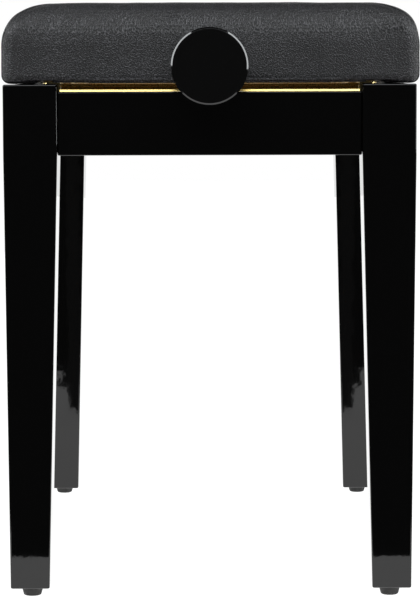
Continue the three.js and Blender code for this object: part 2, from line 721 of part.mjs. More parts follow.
function liftNut() {
  const y = SLIDER_REST_Y;
  const reach = ARM_A_INSIDE + ARM_THICKNESS + GAP;
  const [y0, y1] = [y - NUT_HALF, y + NUT_HALF];
  const [z0, z1] = [SPINDLE_Z - NUT_HALF, SPINDLE_Z + NUT_HALF];
  const block = box(-NUT_HALF_WIDTH, NUT_HALF_WIDTH, y0, y1, z0, z1);
  const trunnion = bar("x", -reach, reach, y, UPPER_PIVOT_Z, PIN_RADIUS);
  const bore = bar("y", y0 - PAST, y1 + PAST, 0, SPINDLE_Z, SPINDLE_RADIUS + NUT_CLEARANCE);
  return cut(join(block, trunnion), bore);
}

function knob() {
  const bore = SPINDLE_RADIUS + GAP;
  const back = KNOB_FACE - KNOB_THICKNESS;
  const boreEnd = SPINDLE_HALF + GAP;
  const profile = [
    [bore, KNOB_HUB_START], [KNOB_HUB_RADIUS, KNOB_HUB_START], [KNOB_HUB_RADIUS, back - PAST],
    [KNOB_HUB_RADIUS + PAST, back], [KNOB_RADIUS - KNOB_BACK_BEVEL, back],
    [KNOB_RADIUS, back + KNOB_BACK_BEVEL], [KNOB_RADIUS, KNOB_FACE - KNOB_BEVEL],
    [KNOB_RADIUS - KNOB_BEVEL, KNOB_FACE], [0, KNOB_FACE],
  ];
  const closed = [[0, boreEnd], [bore, boreEnd], ...profile];
  return turned(closed, KNOB_SIDES).rotateX(-Math.PI / 2).translate(0, 0, SPINDLE_Z);
}

function collar() {
  const start = BEARING_Y + BEARING_THICKNESS + GAP;
  const end = start + COLLAR_LENGTH;
  const outside = bar("y", start, end, 0, SPINDLE_Z, COLLAR_RADIUS);
  return cut(outside, bar("y", start - PAST, end + PAST, 0, SPINDLE_Z, SPINDLE_RADIUS + GAP));
}

add("lift_nut", liftNut(), ZINC);
add("spindle", bar("y", -SPINDLE_HALF, SPINDLE_HALF, 0, SPINDLE_Z, SPINDLE_RADIUS), STEEL);
addEnds("spindle_collar", collar(), ZINC);
addEnds("knob", knob(), LACQUER);

export default bench;
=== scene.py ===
"""Height-adjustable piano bench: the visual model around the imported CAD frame. Metres, +Z up."""

import json
import math

import bmesh
import bpy
import numpy as np
from mathutils import Matrix, Vector, kdtree, noise


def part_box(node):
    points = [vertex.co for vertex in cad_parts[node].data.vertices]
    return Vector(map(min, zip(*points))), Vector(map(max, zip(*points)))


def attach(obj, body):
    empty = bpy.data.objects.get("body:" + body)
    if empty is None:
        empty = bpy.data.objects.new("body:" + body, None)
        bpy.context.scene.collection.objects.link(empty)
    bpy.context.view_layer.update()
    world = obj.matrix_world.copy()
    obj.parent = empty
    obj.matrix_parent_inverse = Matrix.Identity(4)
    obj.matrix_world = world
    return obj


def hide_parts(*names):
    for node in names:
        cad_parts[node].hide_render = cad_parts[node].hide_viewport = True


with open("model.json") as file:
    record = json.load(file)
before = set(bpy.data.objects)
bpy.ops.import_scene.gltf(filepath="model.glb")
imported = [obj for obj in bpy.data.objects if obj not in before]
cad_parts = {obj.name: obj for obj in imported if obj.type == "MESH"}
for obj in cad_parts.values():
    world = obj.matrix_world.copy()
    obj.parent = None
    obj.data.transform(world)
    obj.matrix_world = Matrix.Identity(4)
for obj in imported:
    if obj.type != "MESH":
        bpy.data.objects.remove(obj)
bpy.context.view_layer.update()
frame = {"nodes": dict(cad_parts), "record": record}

MM = 0.001
NODES = frame["nodes"]
ENDS = (("front", -1), ("rear", 1))
SIDES = (("left", -1), ("right", 1))
CORNERS = [(end, y, side, x) for end, y in ENDS for side, x in SIDES]


# ---------------------------------------------------------------- camera, light and floor

CAMERA_PLACE = Vector((-0.0002, -2.510, 0.4522))
CAMERA_DOWN = math.radians(5.436)
CAMERA_ROLL = math.radians(-0.16)
CAMERA_LENS = 170.6
STRIP_X = 1.15
STRIP_Y = -0.32
STRIP_WIDTH = 0.36
LIGHT_COLOR = (0.95, 0.98, 1.0)
SOFTBOX_PLACE = (0, -1.32, 1.724)
SOFTBOX_TARGET = (0, -0.26, 0.46)
SOFTBOX_SIZE = (2.6, 1.15)
SENSOR_WIDTH = 36
CLIP_END = 100
ROOM_DARK, ROOM_WHITE = 0.02, 1.05  # what the bench mirrors in front and behind
ROOM_BEHIND_FROM, ROOM_BEHIND_TO = 0.05, 0.3  # of the direction's Y
ROOM_TOP_FROM, ROOM_TOP_TO = 0.5, 0.2  # of the direction's Z
FLOOR_HALF = 6
FLOOR_Z = -0.0005
FLOOR_SHEET_Z = -0.0002
FLOOR_SHEET_BACK = 5
FLOOR_SHEET_HALF_WIDTH = 0.42
FLOOR_SHEET_FRONT = -0.435
FLOOR_WING_INSIDE = 0.185
FLOOR_WING_FRONT = -0.55
FLOOR_GLOW = 1.0
FLOOR_SHEET_GLOW = 1.25
STRIP_TOP = 2.46
STRIP_RADIANCE = 9
SOFTBOX_RADIANCE = 3.0


def add_camera():
    data = bpy.data.cameras.new("camera")
    data.lens = CAMERA_LENS
    data.sensor_width = SENSOR_WIDTH
    data.clip_end = CLIP_END
    camera = bpy.data.objects.new("camera", data)
    turn = Matrix.Rotation(math.pi / 2 - CAMERA_DOWN, 4, "X") @ Matrix.Rotation(CAMERA_ROLL, 4, "Z")
    camera.matrix_world = Matrix.Translation(CAMERA_PLACE) @ turn
    bpy.context.scene.collection.objects.link(camera)
    bpy.context.scene.camera = camera


def add_softbox(name, place, target, size, radiance, lights_diffuse=True):
    """A rectangular light of a given radiance that faces a point."""
    data = bpy.data.lights.new(name, "AREA")
    data.shape = "RECTANGLE"
    data.size, data.size_y = size
    data.energy = radiance * math.pi * size[0] * size[1]
    data.color = LIGHT_COLOR
    light = bpy.data.objects.new(name, data)
    aim = (Vector(target) - Vector(place)).to_track_quat("-Z", "Y")
    light.matrix_world = Matrix.Translation(Vector(place)) @ aim.to_matrix().to_4x4()
    light.visible_camera = False
    light.visible_diffuse = lights_diffuse
    bpy.context.scene.collection.objects.link(light)


def add_lights():
    for name, sign, bottom in (("strip_left", -1, 0.42), ("strip_right", 1, 0.31)):
        middle = (bottom + STRIP_TOP) / 2
        place, target = (sign * STRIP_X, STRIP_Y, middle), (0, STRIP_Y, middle)
        size = (STRIP_WIDTH, STRIP_TOP - bottom)
        add_softbox(name, place, target, size, STRIP_RADIANCE, False)
    add_softbox("softbox_front", SOFTBOX_PLACE, SOFTBOX_TARGET, SOFTBOX_SIZE, SOFTBOX_RADIANCE)


def add_world():
    """White behind the bench, dark behind the camera, so that the lacquer mirrors as in a studio."""
    world = bpy.data.worlds.new("studio")
    world.use_nodes = True
    tree = world.node_tree
    tree.nodes.clear()
    output = tree.nodes.new("ShaderNodeOutputWorld")
    mix = tree.nodes.new("ShaderNodeMixShader")
    path = tree.nodes.new("ShaderNodeLightPath")
    seen = tree.nodes.new("ShaderNodeBackground")
    seen.inputs["Strength"].default_value = 1.0
    seen.inputs["Color"].default_value = (1, 1, 1, 1)
    lit = tree.nodes.new("ShaderNodeBackground")
    lit.inputs["Strength"].default_value = 1.0
    place = tree.nodes.new("ShaderNodeTexCoord")
    split = tree.nodes.new("ShaderNodeSeparateXYZ")
    ramp = tree.nodes.new("ShaderNodeValToRGB")
    for element, shade in zip(ramp.color_ramp.elements, (ROOM_DARK, ROOM_WHITE)):
        element.color = (shade, shade, shade, 1)
    behind = tree.nodes.new("ShaderNodeMapRange")
    behind.inputs["From Min"].default_value = ROOM_BEHIND_FROM
    behind.inputs["From Max"].default_value = ROOM_BEHIND_TO
    low = tree.nodes.new("ShaderNodeMapRange")
    low.inputs["From Min"].default_value = ROOM_TOP_FROM
    low.inputs["From Max"].default_value = ROOM_TOP_TO
    both = tree.nodes.new("ShaderNodeMath")
    both.operation = "MULTIPLY"
    tree.links.new(place.outputs["Generated"], split.inputs[0])
    tree.links.new(split.outputs["Y"], behind.inputs["Value"])
    tree.links.new(split.outputs["Z"], low.inputs["Value"])
    tree.links.new(behind.outputs[0], both.inputs[0])
    tree.links.new(low.outputs[0], both.inputs[1])
    tree.links.new(both.outputs[0], ramp.inputs[0])
    tree.links.new(ramp.outputs[0], lit.inputs["Color"])
    tree.links.new(path.outputs["Is Camera Ray"], mix.inputs[0])
    tree.links.new(lit.outputs[0], mix.inputs[1])
    tree.links.new(seen.outputs[0], mix.inputs[2])
    tree.links.new(mix.outputs[0], output.inputs["Surface"])
    bpy.context.scene.world = world


def flat_rectangle(name, x0, x1, y0, y1, z, material):
    corners = [(x0, y0, z), (x1, y0, z), (x1, y1, z), (x0, y1, z)]
    piece = make_object(name, corners, [(0, 1, 2, 3)], material)
    return piece


def floor_material(name, glow):
    material = bpy.data.materials.new(name)
    material.use_nodes = True
    shader = material.node_tree.nodes["Principled BSDF"]
    shader.inputs["Base Color"].default_value = (0.2, 0.2, 0.2, 1)
    shader.inputs["Roughness"].default_value = 0.9
    shader.inputs["Emission Color"].default_value = (1, 1, 1, 1)
    shader.inputs["Emission Strength"].default_value = glow
    return material


def add_floor():
    """A wide floor that lights the bench and a smaller one that the lacquer mirrors."""
    far = FLOOR_HALF
    pale = floor_material("pale_floor", FLOOR_GLOW)
    wide = flat_rectangle("floor", -far, far, -far, far, FLOOR_Z, pale)
    wide.visible_glossy = False
    half = FLOOR_SHEET_HALF_WIDTH
    material = floor_material("bright_floor", FLOOR_SHEET_GLOW)
    place = (-half, half, FLOOR_SHEET_FRONT, FLOOR_SHEET_BACK, FLOOR_SHEET_Z)
    sheets = [flat_rectangle("floor_sheet", *place, material)]
    for side, sign in SIDES:
        x0, x1 = sorted((sign * FLOOR_WING_INSIDE, sign * half))
        place = (x0, x1, FLOOR_WING_FRONT, FLOOR_SHEET_FRONT, FLOOR_SHEET_Z)
        sheets.append(flat_rectangle(f"floor_sheet_{side}", *place, material))
    for sheet in sheets:
        sheet.visible_camera = False
        sheet.visible_diffuse = False
        sheet.visible_shadow = False


# ---------------------------------------------------------------- materials

GRAIN = 920  # cells of grain in a metre
GRAIN_EVENNESS = 0.8  # 1 is fully random
STRETCH_FROM = 0.449  # height at which the leather starts to stretch over the shoulder
STRETCH = 0.38


class Nodes:
    """A small helper that builds one node material."""

    def __init__(self, name, color, roughness, metallic=0.0):
        self.material = bpy.data.materials.new(name)
        self.material.use_nodes = True
        self.tree = self.material.node_tree
        self.shader = self.tree.nodes["Principled BSDF"]
        self.shader.inputs["Base Color"].default_value = (*color, 1)
        self.shader.inputs["Roughness"].default_value = roughness
        self.shader.inputs["Metallic"].default_value = metallic
        place = self.tree.nodes.new("ShaderNodeTexCoord")
        self.place = place.outputs["Object"]

    def link(self, source, target):
        self.tree.links.new(source, target)

    def stretched(self, scale):
        node = self.tree.nodes.new("ShaderNodeMapping")
        node.inputs["Scale"].default_value = scale
        self.link(self.place, node.inputs["Vector"])
        return node.outputs[0]

    def noise(self, scale, detail=2.0, roughness=0.5, vector=None):
        node = self.tree.nodes.new("ShaderNodeTexNoise")
        node.inputs["Scale"].default_value = scale
        node.inputs["Detail"].default_value = detail
        node.inputs["Roughness"].default_value = roughness
        self.link(vector or self.place, node.inputs["Vector"])
        return node.outputs["Fac"]

    def voronoi(self, scale, feature, vector=None, smooth=0.0):
        node = self.tree.nodes.new("ShaderNodeTexVoronoi")
        node.feature = feature
        node.inputs["Scale"].default_value = scale
        node.inputs["Randomness"].default_value = GRAIN_EVENNESS
        if feature == "SMOOTH_F1":
            node.inputs["Smoothness"].default_value = smooth
        self.link(vector or self.place, node.inputs["Vector"])
        return node.outputs["Distance"]

    def wave(self, scale, distortion, vector, detail=2.0):
        node = self.tree.nodes.new("ShaderNodeTexWave")
        node.inputs["Scale"].default_value = scale
        node.inputs["Distortion"].default_value = distortion
        node.inputs["Detail"].default_value = detail
        node.inputs["Detail Scale"].default_value = 1.5
        self.link(vector, node.inputs["Vector"])
        return node.outputs["Fac"]

    def span(self, value, low, high, new_low, new_high):
        node = self.tree.nodes.new("ShaderNodeMapRange")
        node.inputs["From Min"].default_value = low
        node.inputs["From Max"].default_value = high
        node.inputs["To Min"].default_value = new_low
        node.inputs["To Max"].default_value = new_high
        self.link(value, node.inputs["Value"])
        return node.outputs[0]

    def math(self, operation, first, second):
        node = self.tree.nodes.new("ShaderNodeMath")
        node.operation = operation
        for socket, value in zip(node.inputs, (first, second)):
            if isinstance(value, (int, float)):
                socket.default_value = value
            else:
                self.link(value, socket)
        return node.outputs[0]

    def warped(self, amount, scale):
        """The object's coordinates, pushed about by noise."""
        bend = self.tree.nodes.new("ShaderNodeTexNoise")
        bend.inputs["Scale"].default_value = scale
        bend.inputs["Detail"].default_value = 2
        self.link(self.place, bend.inputs["Vector"])
        push = self.tree.nodes.new("ShaderNodeVectorMath")
        push.operation = "MULTIPLY_ADD"
        push.inputs[1].default_value = (amount, amount, amount)
        self.link(bend.outputs["Color"], push.inputs[0])
        self.link(self.place, push.inputs[2])
        return push.outputs[0]

    def color(self, value, stops):
        node = self.tree.nodes.new("ShaderNodeValToRGB")
        ramp = node.color_ramp
        while len(ramp.elements) < len(stops):
            ramp.elements.new(0.5)
        for element, (position, tint) in zip(ramp.elements, stops):
            element.position = position
            element.color = (*tint, 1)
        self.link(value, node.inputs[0])
        self.link(node.outputs[0], self.shader.inputs["Base Color"])
        return node.outputs[0]

    def roughness(self, value):
        self.link(value, self.shader.inputs["Roughness"])

    def bump(self, *layers):
        """Each layer is (height, strength, distance in metres)."""
        normal = None
        for height, strength, distance in layers:
            node = self.tree.nodes.new("ShaderNodeBump")
            node.inputs["Strength"].default_value = strength
            node.inputs["Distance"].default_value = distance
            self.link(height, node.inputs["Height"])
            if normal is not None:
                self.link(normal, node.inputs["Normal"])
            normal = node.outputs[0]
        self.link(normal, self.shader.inputs["Normal"])


def lacquer(name="black_lacquer", shade=0.0016, gloss=0.035):
    """Polished black polyester: a faint orange peel, hairline polishing marks and a little dust."""
    n = Nodes(name, (shade, shade, shade), gloss)
    n.shader.inputs["IOR"].default_value = 1.5
    peel = n.noise(scale=70, detail=2)
    dust = n.noise(scale=2600, detail=1)
    n.color(n.span(dust, 0.66, 0.8, 0, 1), [(0, (shade,) * 3), (1, (shade * 3,) * 3)])
    hairline = n.noise(scale=900, detail=3, vector=n.stretched((1, 1, 0.03)))
    n.roughness(n.span(hairline, 0.3, 0.75, gloss * 0.6, gloss * 1.6))
    n.bump((peel, 0.012, 0.004))
    return n.material


def leather():
    """Black leather cloth: a fine grain of pits, which the stretch over the shoulder draws out; its
    colour paints shade into the pits and a highlight onto the ridges between them.
    """
    n = Nodes("grained_leather", (0.02, 0.02, 0.022), 0.4)
    n.shader.inputs["IOR"].default_value = 1.5
    split = n.tree.nodes.new("ShaderNodeSeparateXYZ")
    n.link(n.place, split.inputs[0])
    over = n.math("MAXIMUM", n.math("SUBTRACT", split.outputs["Z"], STRETCH_FROM), 0.0)
    height = n.math("SUBTRACT", split.outputs["Z"], n.math("MULTIPLY", over, 1 - STRETCH))
    drawn = n.tree.nodes.new("ShaderNodeCombineXYZ")
    n.link(split.outputs["X"], drawn.inputs["X"])
    n.link(split.outputs["Y"], drawn.inputs["Y"])
    n.link(height, drawn.inputs["Z"])
    n.place = drawn.outputs[0]
    warped = n.warped(amount=0.0008, scale=240)
    pits = n.voronoi(GRAIN, "F1", warped)
    pebble = n.voronoi(GRAIN, "SMOOTH_F1", warped, smooth=0.2)
    broad = n.noise(scale=30, detail=3, roughness=0.55)
    # Painted shade and highlight: the colour runs from black in the pits to a light bluish grey on the
    # ridges, mixed with a broad random tone.
    rim = n.span(pits, 0.15, 0.75, 0, 1)
    tone = n.math("ADD", n.math("MULTIPLY", rim, 0.75), n.math("MULTIPLY", broad, 0.25))
    black, hide, painted_ridge_highlight = (0.0, 0.0, 0.0), (0.009, 0.0087, 0.0101), (0.074, 0.0725, 0.0795)
    n.color(tone, [(0.25, black), (0.64, hide), (1, painted_ridge_highlight)])
    n.roughness(n.span(rim, 0, 1, 0.65, 0.38))
    n.bump((pebble, 1.0, 0.00075))
    return n.material


def rubber():
    n = Nodes("moulded_rubber", (0.024, 0.024, 0.024), 0.72)
    blotches = n.noise(scale=140, detail=4)
    n.color(blotches, [(0.3, (0.018, 0.018, 0.018)), (0.7, (0.034, 0.034, 0.033))])
    n.roughness(n.span(n.noise(scale=400, detail=3), 0.3, 0.7, 0.6, 0.85))
    n.bump((n.noise(scale=2400, detail=3, roughness=0.7), 0.35, 0.0002))
    return n.material


def plated(name, color, dull, roughness):
    """Plated sheet or turned steel, with rolling lines along the bench and a slightly uneven tint."""
    n = Nodes(name, color, roughness, 1.0)
    n.color(n.noise(scale=22, detail=4, roughness=0.6), [(0.3, dull), (0.7, color)])
    lines = n.noise(scale=1500, detail=3, vector=n.stretched((1, 0.02, 1)))
    n.roughness(n.span(lines, 0.3, 0.7, roughness * 0.75, roughness * 1.35))
    n.bump((lines, 0.06, 0.0002), (n.noise(scale=120, detail=2), 0.08, 0.0006))
    return n.material


def wood(name, light, dark, scale, stretch):
    """Planed wood with its grain along the bench."""
    n = Nodes(name, light, 0.6)
    grain = n.wave(scale, distortion=5.0, vector=n.stretched(stretch), detail=3)
    pores = n.noise(scale=1400, detail=2, vector=n.stretched((1, 0.05, 1)))
    tone = n.math("ADD", n.math("MULTIPLY", grain, 0.6), n.math("MULTIPLY", pores, 0.4))
    n.color(tone, [(0.15, dark), (0.85, light)])
    n.roughness(n.span(pores, 0.3, 0.7, 0.5, 0.75))
    n.bump((pores, 0.2, 0.0003), (grain, 0.1, 0.0003))
    return n.material


# ---------------------------------------------------------------- mesh tools

def make_object(name, vertices, faces, material, smooth_below=None):
    mesh = bpy.data.meshes.new(name)
    mesh.from_pydata([tuple(v) for v in vertices], [], [tuple(f) for f in faces])
    mesh.update()
    if smooth_below is not None:
        mesh.shade_smooth()
        mesh.set_sharp_from_angle(angle=math.radians(smooth_below))
    mesh.materials.append(material)
    piece = bpy.data.objects.new(name, mesh)
    bpy.context.scene.collection.objects.link(piece)
    return piece


def keep_flats_flat(piece):
    """Large faces keep their own normal, so that only the rounded edges shade round."""
    modifier = piece.modifiers.new("weighted", "WEIGHTED_NORMAL")
    modifier.mode = "FACE_AREA"
    modifier.weight = 100
    return piece


def loft(rings):
    """Vertices and faces of a closed body through rings with equal point counts."""
    count = len(rings[0])
    faces = []
    for level in range(len(rings) - 1):
        for i in range(count):
            a, b = level * count + i, level * count + (i + 1) % count
            faces.append((a, b, b + count, a + count))
    last = (len(rings) - 1) * count
    faces.append(tuple(reversed(range(count))))
    faces.append(tuple(range(last, last + count)))
    return [p for ring in rings for p in ring], faces


def rounded_square(x0, x1, y0, y1, z, radius, steps=4):
    ring = []
    xs, ys = (x0 + radius, x1 - radius), (y0 + radius, y1 - radius)
    centres = ((xs[1], ys[1]), (xs[0], ys[1]), (xs[0], ys[0]), (xs[1], ys[0]))
    for quarter, (cx, cy) in enumerate(centres):
        for i in range(steps + 1):
            angle = (quarter + i / steps) * math.pi / 2
            ring.append((cx + radius * math.cos(angle), cy + radius * math.sin(angle), z))
    return ring


def rounded_box(name, lo, hi, radius, material, segments=4):
    mesh = bmesh.new()
    bmesh.ops.create_cube(mesh, size=1)
    centre, size = (Vector(lo) + Vector(hi)) / 2, Vector(hi) - Vector(lo)
    for vertex in mesh.verts:
        vertex.co = centre + Vector([c * s for c, s in zip(vertex.co, size)])
    edges = mesh.edges[:]
    bmesh.ops.bevel(mesh, geom=edges, offset=radius, segments=segments, profile=0.5, affect="EDGES")
    data = bpy.data.meshes.new(name)
    mesh.to_mesh(data)
    mesh.free()
    data.shade_smooth()
    data.materials.append(material)
    piece = bpy.data.objects.new(name, data)
    bpy.context.scene.collection.objects.link(piece)
    return keep_flats_flat(piece)


def arc(cx, cy, radius, start, end, steps):
    """Points on an arc, in degrees."""
    angles = [math.radians(start + (end - start) * i / steps) for i in range(steps + 1)]
    return [(cx + radius * math.cos(a), cy + radius * math.sin(a)) for a in angles]


def turned(name, profile, material, centre, axis="Z", steps=96, smooth_below=35):
    """A lathe shape from (radius, distance along the axis); ends on the axis are closed by a point."""
    vertices, faces, rows = [], [], []
    for radius, along in profile:
        if radius < 1e-6:
            rows.append([len(vertices)] * steps)
            vertices.append((0, 0, along))
            continue
        rows.append(list(range(len(vertices), len(vertices) + steps)))
        for i in range(steps):
            angle = 2 * math.pi * i / steps
            vertices.append((radius * math.cos(angle), radius * math.sin(angle), along))
    for low, high in zip(rows, rows[1:]):
        for i in range(steps):
            j = (i + 1) % steps
            face = [low[i], low[j], high[j], high[i]]
            faces.append([v for k, v in enumerate(face) if v not in face[:k]])
    if axis == "Y":
        vertices = [(x, z, -y) for x, y, z in vertices]
    vertices = [Vector(v) + Vector(centre) for v in vertices]
    return make_object(name, vertices, faces, material, smooth_below)


def fix_normals(piece):
    mesh = bmesh.new()
    mesh.from_mesh(piece.data)
    bmesh.ops.recalc_face_normals(mesh, faces=mesh.faces[:])
    mesh.to_mesh(piece.data)
    mesh.free()
    return piece


def stands_for(piece, body, slot, *nodes):
    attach(piece, body)
    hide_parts(*nodes)
    return piece


# ---------------------------------------------------------------- base

APRON_LO, APRON_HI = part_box("end_apron_rear")
LEG_EDGE = 1.3 * MM
LEG_EDGE_STEPS = 4
LEG_LEVELS = (0.2, 0.4, 0.6, 0.8, 0.985, 1.0)  # shares of the height below the apron
LEG_TAPER_OUTER = 2.6 * MM
LEG_TAPER_ACROSS = 8.8 * MM
LEG_TAPER_ALONG = 6.4 * MM


def leg(end, sign_y, side, sign_x, material):
    """A leg that is square to the underside of the apron and tapers on all four faces below it."""
    lo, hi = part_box(f"leg_{end}_{side}")
    x_out, x_in = (hi.x, lo.x) if sign_x > 0 else (lo.x, hi.x)
    y_out, y_in = (hi.y, lo.y) if sign_y > 0 else (lo.y, hi.y)
    height = APRON_LO.z - lo.z

    def ring(z, inset):
        drawn = max(0.0, (APRON_LO.z - z) / height)
        xs = sorted((x_out - sign_x * (LEG_TAPER_OUTER * drawn + inset),
                     x_in + sign_x * (LEG_TAPER_ACROSS * drawn + inset)))
        ys = sorted((y_out - sign_y * (LEG_TAPER_OUTER * drawn + inset),
                     y_in + sign_y * (LEG_TAPER_ALONG * drawn + inset)))
        return rounded_square(*xs, *ys, z, LEG_EDGE)

    turn = [math.pi / 2 * i / LEG_EDGE_STEPS for i in range(LEG_EDGE_STEPS + 1)]
    rings = [ring(lo.z + LEG_EDGE * (1 - math.cos(a)), LEG_EDGE * (1 - math.sin(a))) for a in turn]
    rings += [ring(lo.z + LEG_EDGE + (height - LEG_EDGE) * share, 0) for share in LEG_LEVELS]
    rings += [ring(hi.z - LEG_EDGE * (1 - math.sin(a)), LEG_EDGE * (1 - math.cos(a))) for a in turn]
    piece = make_object(f"leg_{end}_{side}.lacquered", *loft(rings), material, 180)
    keep_flats_flat(piece)
    return stands_for(piece, "base", "lacquer", f"leg_{end}_{side}")


FOOT_HEIGHT = 7.2 * MM
FOOT_BOTTOM_RADIUS = 7.3 * MM
FOOT_EDGE = 1.8 * MM
FOOT_TOP_EDGE = 0.5 * MM
FOOT_HOLLOW = 0.25 * MM
FOOT_STEM_RADIUS = 2.6 * MM


def foot(end, side, material):
    """A turned rubber foot: hollow under its middle, wider towards its top, with a stem in the leg."""
    lo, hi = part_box(f"foot_{end}_{side}")
    centre = ((lo.x + hi.x) / 2, (lo.y + hi.y) / 2, 0)
    top, bottom = (hi.x - lo.x) / 2, FOOT_BOTTOM_RADIUS
    flank = FOOT_HEIGHT - FOOT_EDGE
    rim = top - FOOT_TOP_EDGE
    profile = [(0, FOOT_HOLLOW), (bottom * 0.55, FOOT_HOLLOW), (bottom * 0.62, 0)]
    profile += arc(bottom - FOOT_EDGE, FOOT_EDGE, FOOT_EDGE, -90, -12, 6)
    profile += [(bottom + (top - bottom) * k, FOOT_EDGE + flank * k) for k in (0.3, 0.6, 0.82)]
    profile += arc(rim, FOOT_HEIGHT - FOOT_TOP_EDGE, FOOT_TOP_EDGE, 0, 90, 3)
    profile += [(FOOT_STEM_RADIUS, FOOT_HEIGHT), (FOOT_STEM_RADIUS, hi.z), (0, hi.z)]
    piece = turned(f"foot_{end}_{side}.rubber", profile, material, centre, steps=64)
    return stands_for(piece, "base", "rubber", f"foot_{end}_{side}")


APRON_EDGE = 1.0 * MM


def apron(node, material):
    lo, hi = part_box(node)
    piece = rounded_box(f"{node}.lacquered", lo, hi, APRON_EDGE, material)
    return stands_for(piece, "base", "lacquer", node)


# ---------------------------------------------------------------- lift frame

SHEET = 1.6 * MM
PLATE_FLANGE = 12 * MM  # from the web to the flange's back edge
PLATE_BOTTOM_BEND = 0.9 * MM
PLATE_TOP_BEND = 1.1 * MM
PLATE_TOP_SPARE = 0.05 * MM
RIB_ABOVE_FOOT = 1.55 * MM
RIB_HEIGHT = 0.55 * MM
RIB_WIDTH = 0.75 * MM
RIB_STEP = 0.2 * MM
WEB_LEAN = 0.04
SHEARED_EDGE = ((0, 0), (0.05, 0.15), (0.65, 1.48), (0.85, 1.6))  # mm back from the front, mm up
END_CHAMFER = 0.15 * MM


def lower_end_plate(end, sign, material):
    """Bent sheet: a foot with a sloping sheared edge, a web with a rolled rib, and a top flange."""
    lo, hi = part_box(f"lower_end_plate_{end}")
    half = hi.x
    front, back = (-lo.y, -hi.y) if sign < 0 else (hi.y, lo.y)
    z0, z1 = lo.z, hi.z
    foot_top = z0 + SHEET
    web = back + PLATE_FLANGE + SHEET
    rib = foot_top + RIB_ABOVE_FOOT
    outside = [(front - y * MM, z0 + z * MM) for y, z in SHEARED_EDGE]
    bend = PLATE_BOTTOM_BEND
    outside += arc(web + bend, foot_top + bend, bend, 270, 190, 5)
    for z in [rib + RIB_STEP * k for k in range(-3, 8)]:
        bulge = RIB_HEIGHT * math.exp(-((z - rib) / RIB_WIDTH) ** 2)
        outside.append((web + bulge - WEB_LEAN * (z - foot_top), z))
    bend = PLATE_TOP_BEND + PLATE_TOP_SPARE
    outside += arc(web - bend, z1 - bend, PLATE_TOP_BEND, 8, 90, 7)
    outside += [(back, z1), (back, z1 - SHEET), (web - SHEET, z1 - SHEET), (web - SHEET, z0)]
    rings = []
    for x in (-half, -half + END_CHAMFER, half - END_CHAMFER, half):
        rings.append([(x, sign * y, z) for y, z in outside])
    piece = make_object(f"lower_end_plate_{end}.bent", *loft(rings), material, 30)
    fix_normals(piece)
    return stands_for(piece, "base", "brass_plate", f"lower_end_plate_{end}")


# ---------------------------------------------------------------- knobs

KNOB_THICKNESS = 23 * MM
KNOB_BEVEL = 1.25 * MM
KNOB_BEVEL_EDGE = 0.25 * MM
KNOB_BEVEL_TURN = 0.1 * MM
KNOB_BACK_ROUND = 4 * MM
KNOB_STEPS = 128
HUB_RADIUS = 11 * MM
HUB_EDGE = 0.6 * MM
HUB_FILLET = 2.5 * MM
BORE_RADIUS = 6.3 * MM
BORE_EDGE = 0.5 * MM
BORE_DEPTH = 24 * MM


def knob(end, sign, material):
    """A turned knob whose face has a polished bevel, with a hub on the seat's side."""
    lo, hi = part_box(f"knob_{end}")
    centre = ((lo.x + hi.x) / 2, 0, (lo.z + hi.z) / 2)
    radius = (hi.x - lo.x) / 2
    face, start = (-lo.y, -hi.y) if sign < 0 else (hi.y, lo.y)
    back = face - KNOB_THICKNESS
    edge = KNOB_BEVEL_EDGE
    profile = [(BORE_RADIUS, start + BORE_DEPTH), (BORE_RADIUS, start + BORE_EDGE)]
    profile += [(BORE_RADIUS + BORE_EDGE, start), (HUB_RADIUS - HUB_EDGE, start)]
    profile += arc(HUB_RADIUS - HUB_EDGE, start + HUB_EDGE, HUB_EDGE, -90, 0, 3)
    profile += arc(HUB_RADIUS + HUB_FILLET, back - HUB_FILLET, HUB_FILLET, 180, 90, 6)
    profile += arc(radius - KNOB_BACK_ROUND, back + KNOB_BACK_ROUND, KNOB_BACK_ROUND, -90, 0, 8)
    profile += [(radius, face - KNOB_BEVEL - edge)]
    profile += arc(radius - edge, face - KNOB_BEVEL - KNOB_BEVEL_TURN, edge, 0, 45, 2)
    profile += arc(radius - KNOB_BEVEL - KNOB_BEVEL_TURN, face - edge, edge, 45, 90, 3)
    profile += [(radius * share, face) for share in (0.9, 0.6, 0.3, 0)]
    piece = turned(f"knob_{end}.gloss", profile, material, (0, 0, 0), "Y", KNOB_STEPS, 180)
    if sign < 0:
        piece.data.transform(Matrix.Rotation(math.pi, 4, "Z"))
    piece.data.transform(Matrix.Translation(centre))
    fix_normals(piece)
    keep_flats_flat(piece)
    return stands_for(piece, "drive", "knob_black", f"knob_{end}")


# ---------------------------------------------------------------- cushion

COVER_LO, COVER_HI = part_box("leather_cover")
HALF_X, HALF_Y = COVER_HI.x - 0.8 * MM, COVER_HI.y  # the simulation fills the sides out
LEATHER = 1.2 * MM
CORNER = 10 * MM
SHOULDER_HEIGHT = 34 * MM
SHOULDER_X, SHOULDER_Y = 38 * MM, 30 * MM
SHOULDER_POWER = 2.15
CORNER_GROWTH = 0.4  # of the corner's radius with the shoulder's draw
CROWN = 0.2 * MM
CROWN_POWER = 1.2
CROWN_REACH = 0.7  # share of the shoulder that the crown doesn't reach over
TOP = COVER_HI.z - 2.3 * MM
HEM_RETURN = 14 * MM
ARC_STEPS = 36
END_STEPS = 84
SIDE_STEPS = 128
FIRST_STEP = 0.7 * MM  # along the sides, next to a corner
FLAT_STEP = 3 * MM  # between the rings of the flat top
HEM_SOFT, HEM_TIGHT = 4.8 * MM, 1.1 * MM  # radius of the bottom edge at and between the corners
HEM_SOFT_TO, HEM_TIGHT_FROM = 35 * MM, 80 * MM  # distances from a corner
END_BAND = 12 * MM  # depth of the points that belong to an end


